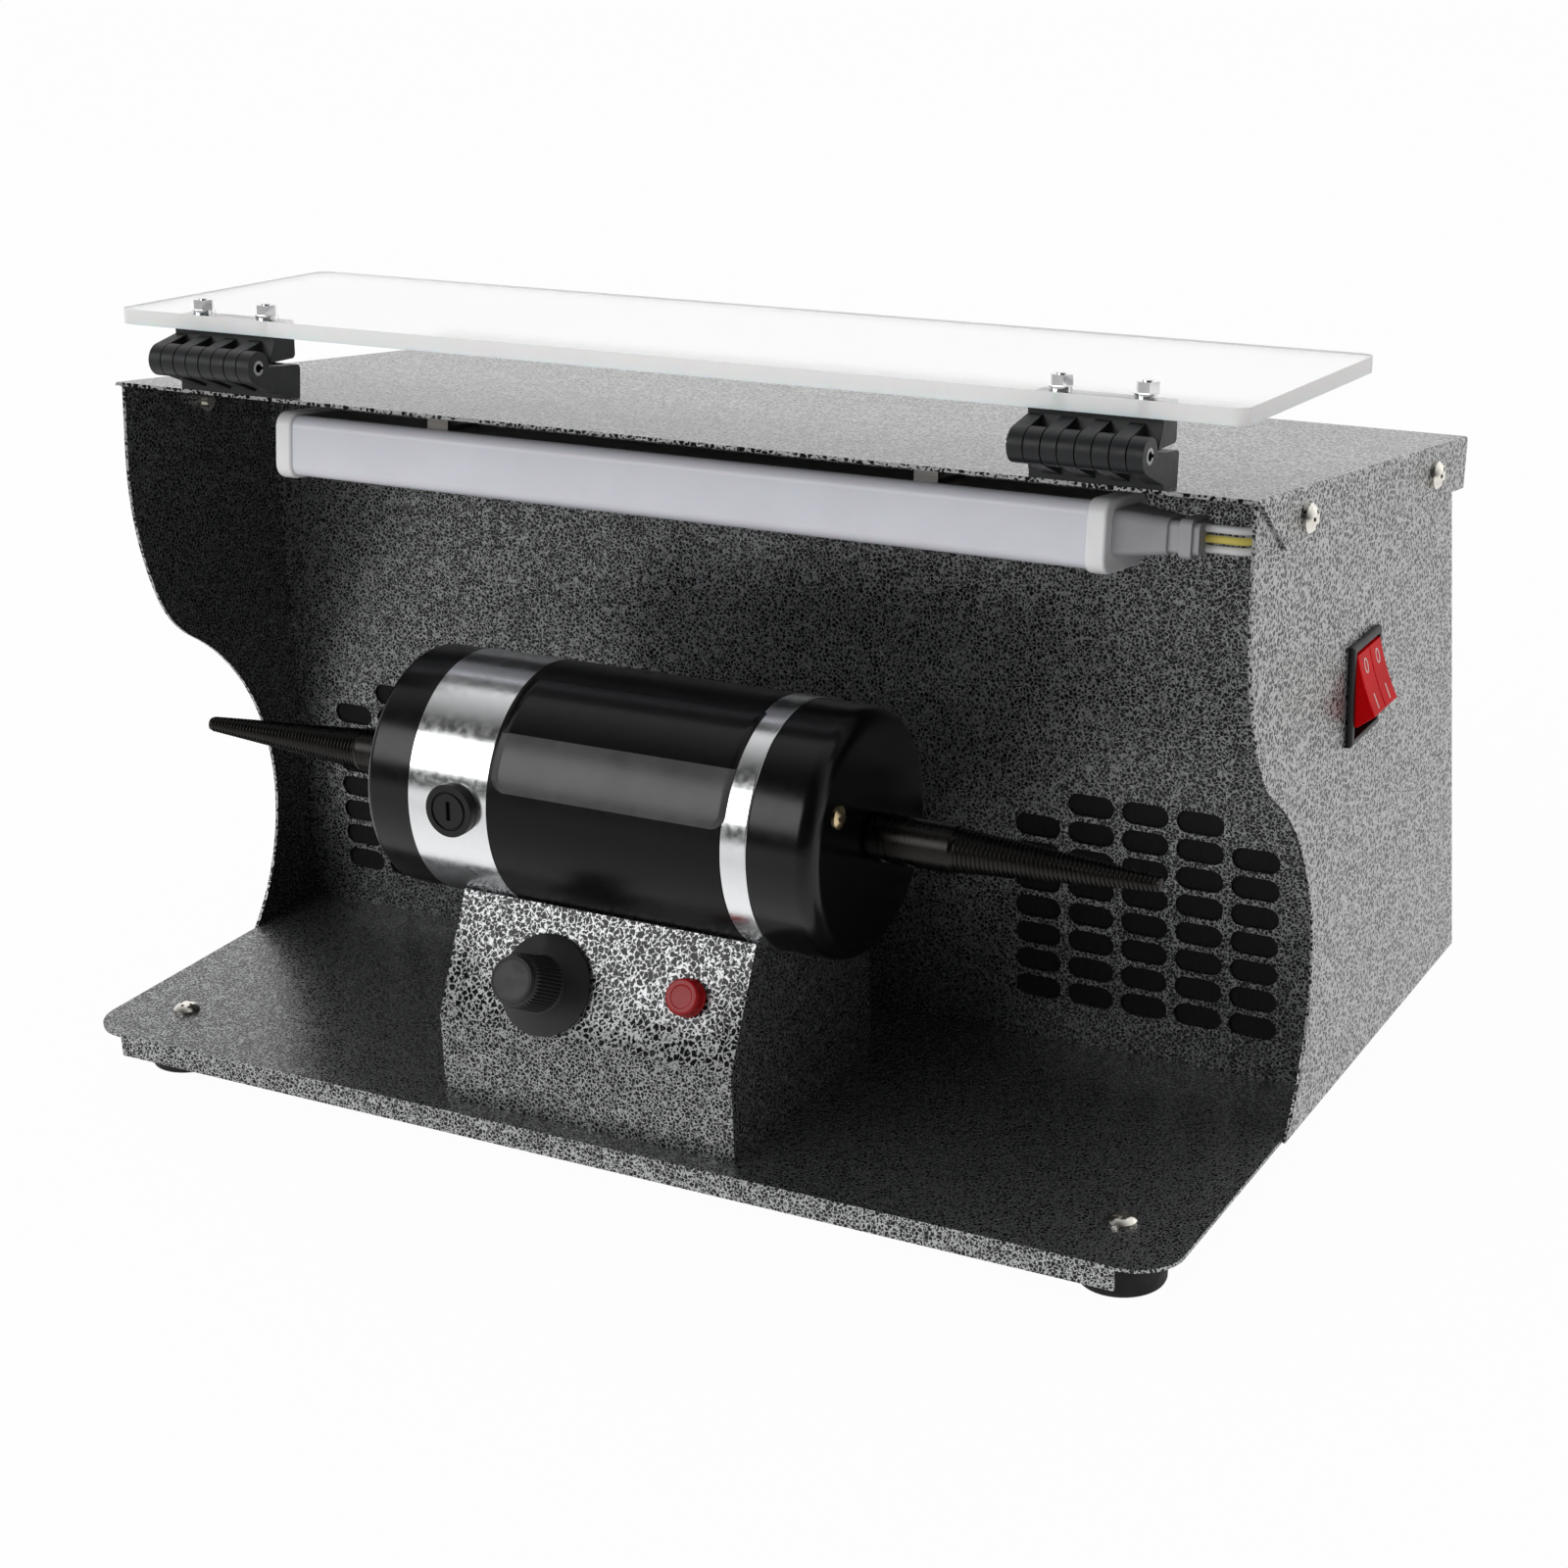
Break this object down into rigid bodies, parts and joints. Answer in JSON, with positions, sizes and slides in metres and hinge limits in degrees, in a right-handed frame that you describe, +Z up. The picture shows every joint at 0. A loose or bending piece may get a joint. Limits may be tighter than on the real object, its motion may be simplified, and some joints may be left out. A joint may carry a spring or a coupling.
{
  "type": "jewelry polishing machine",
  "caption": "Bench polishing machine: double-ended motor with tapered spindles on a pedestal, in a slotted dust hood with an LED light bar and a hinged clear shield.",
  "frame": {"origin": "centre of the machine on the surface that its feet stand on", "axes": "+X to the right along the motor's axis, +Y to the back, +Z up"},
  "size_m": [0.415, 0.2805, 0.2615],
  "materials": {
    "shell": "silver-vein hammertone",
    "foot_rubber": "matt",
    "screw_zinc": "yellowish zinc",
    "saddle_alloy": "as cast",
    "bracket_aluminium": "polished",
    "field_black": "satin",
    "cap_black": "gloss",
    "bearing_steel": "ground",
    "lamination": "dull",
    "copper_wire": "varnished",
    "insulator": "matt",
    "carbon": "matt",
    "black_plastic": "satin",
    "black_oxide": "black oxide",
    "red_lens": "clear red",
    "white_plastic": "satin",
    "circuit_board": "matt",
    "channel_aluminium": "anodised",
    "diffuser": "milky",
    "clip_steel": "bright",
    "grey_plastic": "satin",
    "hinge_nylon": "satin",
    "acrylic": "clear",
    "nut_chrome": "bright",
    "red_plastic": "glossy",
    "filter_felt": "felt"
  },
  "bodies": {
    "machine": {"base_plate": "shell", "left_side_panel": "shell", "right_side_panel": "shell", "top_cover": "shell", "baffle": "shell", "rear_panel": "shell", "pedestal": "shell", "rubber_feet": "foot_rubber", "case_screws": "screw_zinc", "motor_saddles": "saddle_alloy", "end_bracket_left": "bracket_aluminium", "end_bracket_right": "bracket_aluminium", "field_housing": "field_black", "end_cap_left": "cap_black", "end_cap_right": "cap_black", "cap_screws": "screw_zinc", "bearings": "bearing_steel", "stator_core": "lamination", "field_coils": "copper_wire", "brush_holders": "insulator", "carbon_brushes": "carbon", "brush_caps": "black_plastic", "potentiometer": "bearing_steel", "pilot_lens": "red_lens", "pilot_body": "white_plastic", "control_board": "circuit_board", "led_channel": "channel_aluminium", "led_diffuser": "diffuser", "led_board": "white_plastic", "led_end_caps": "white_plastic", "led_clips": "clip_steel", "led_plug": "grey_plastic", "led_lead": "white_plastic", "lead_grommet": "foot_rubber", "hinge_lower_leaves": "hinge_nylon", "hinge_pins": "bearing_steel", "hinge_screws": "bearing_steel", "switch_housing": "black_plastic", "filter_pads": "filter_felt", "filter_frames": "shell", "fan_frames": "black_plastic", "fan_guards": "nut_chrome", "cable_gland": "black_plastic"},
    "spindle": {"shaft": "bearing_steel", "armature_core": "lamination", "armature_windings": "copper_wire", "commutator": "copper_wire", "cooling_fan": "black_plastic", "left_spindle": "black_oxide", "right_spindle": "black_oxide", "set_screws": "black_oxide"},
    "shield_leaf": {"hinge_upper_leaves": "hinge_nylon", "shield": "acrylic", "shield_fasteners": "nut_chrome"},
    "knob": {"speed_knob": "black_plastic", "pot_shaft": "bearing_steel"},
    "motor_rocker": {"rocker_motor": "red_plastic"},
    "light_rocker": {"rocker_light": "red_plastic"},
    "left_fan": {"fan_rotor_left": "black_plastic"},
    "right_fan": {"fan_rotor_right": "black_plastic"}
  },
  "joints": [
    {"name": "shaft_spin", "type": "hinge", "parent": "machine", "child": "spindle", "pos_m": [0, -0.0777, 0.1147], "axis": [1, 0, 0], "continuous": true},
    {"name": "shield_hinge", "type": "hinge", "parent": "machine", "child": "shield_leaf", "pos_m": [0, -0.08602, 0.24403], "axis": [1, 0, 0], "range_deg": [0, 225]},
    {"name": "knob_turn", "type": "hinge", "parent": "machine", "child": "knob", "pos_m": [-0.0165, -0.12589, 0.06689], "axis": [0, 0.889, -0.458], "range_deg": [0, 300]},
    {"name": "motor_rocker_tilt", "type": "hinge", "parent": "machine", "child": "motor_rocker", "pos_m": [0.1952, 0.0197, 0.1486], "axis": [0, 1, 0], "range_deg": [0, 36]},
    {"name": "light_rocker_tilt", "type": "hinge", "parent": "machine", "child": "light_rocker", "pos_m": [0.1952, 0.0197, 0.1486], "axis": [0, 1, 0], "range_deg": [0, 36]},
    {"name": "left_fan_spin", "type": "hinge", "parent": "machine", "child": "left_fan", "pos_m": [-0.137, 0.10918, 0.07745], "axis": [0, 0.9888, 0.1495], "continuous": true},
    {"name": "right_fan_spin", "type": "hinge", "parent": "machine", "child": "right_fan", "pos_m": [0.137, 0.10918, 0.07745], "axis": [0, 0.9888, 0.1495], "continuous": true}
  ]
}
